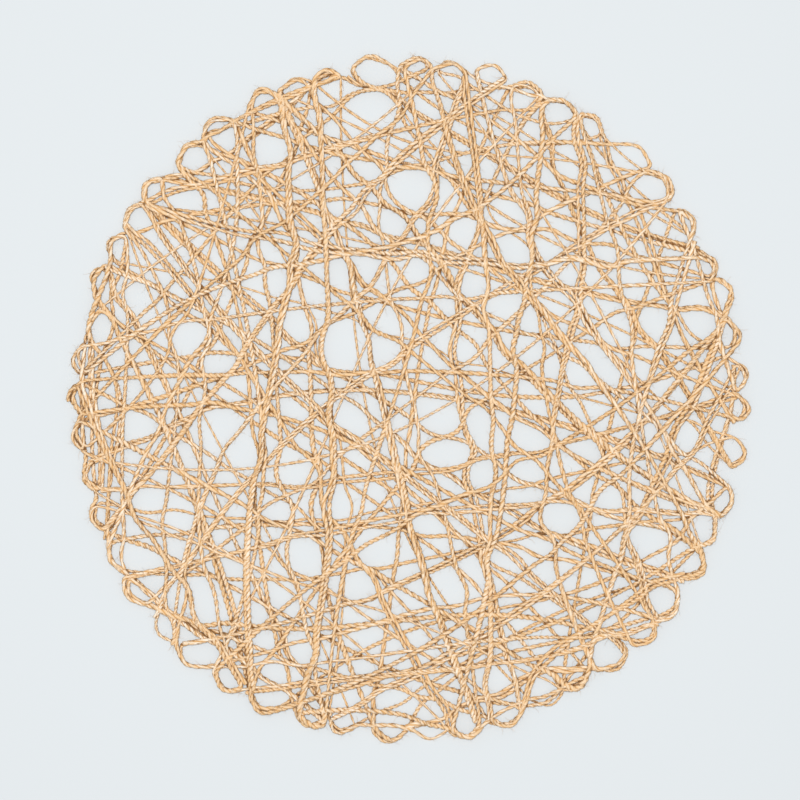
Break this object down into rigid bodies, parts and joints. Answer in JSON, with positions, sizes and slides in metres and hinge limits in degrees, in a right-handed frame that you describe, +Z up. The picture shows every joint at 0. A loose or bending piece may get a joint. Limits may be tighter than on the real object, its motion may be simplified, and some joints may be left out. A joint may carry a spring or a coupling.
{
  "type": "jute placemat",
  "caption": "Round open-web placemat of glued two-ply jute cord wound at random, with a rim of small loops.",
  "frame": {"origin": "centre of the bounding box at the underside, on the surface that the mat lies on", "axes": "+Z up out of the mat's face, +X to the right and +Y to the top of the picture"},
  "size_m": [0.3776, 0.3802, 0.0052],
  "materials": {
    "jute": "matte twisted jute fibre"
  },
  "bodies": {
    "root": {"mat": "jute"}
  },
  "joints": []
}
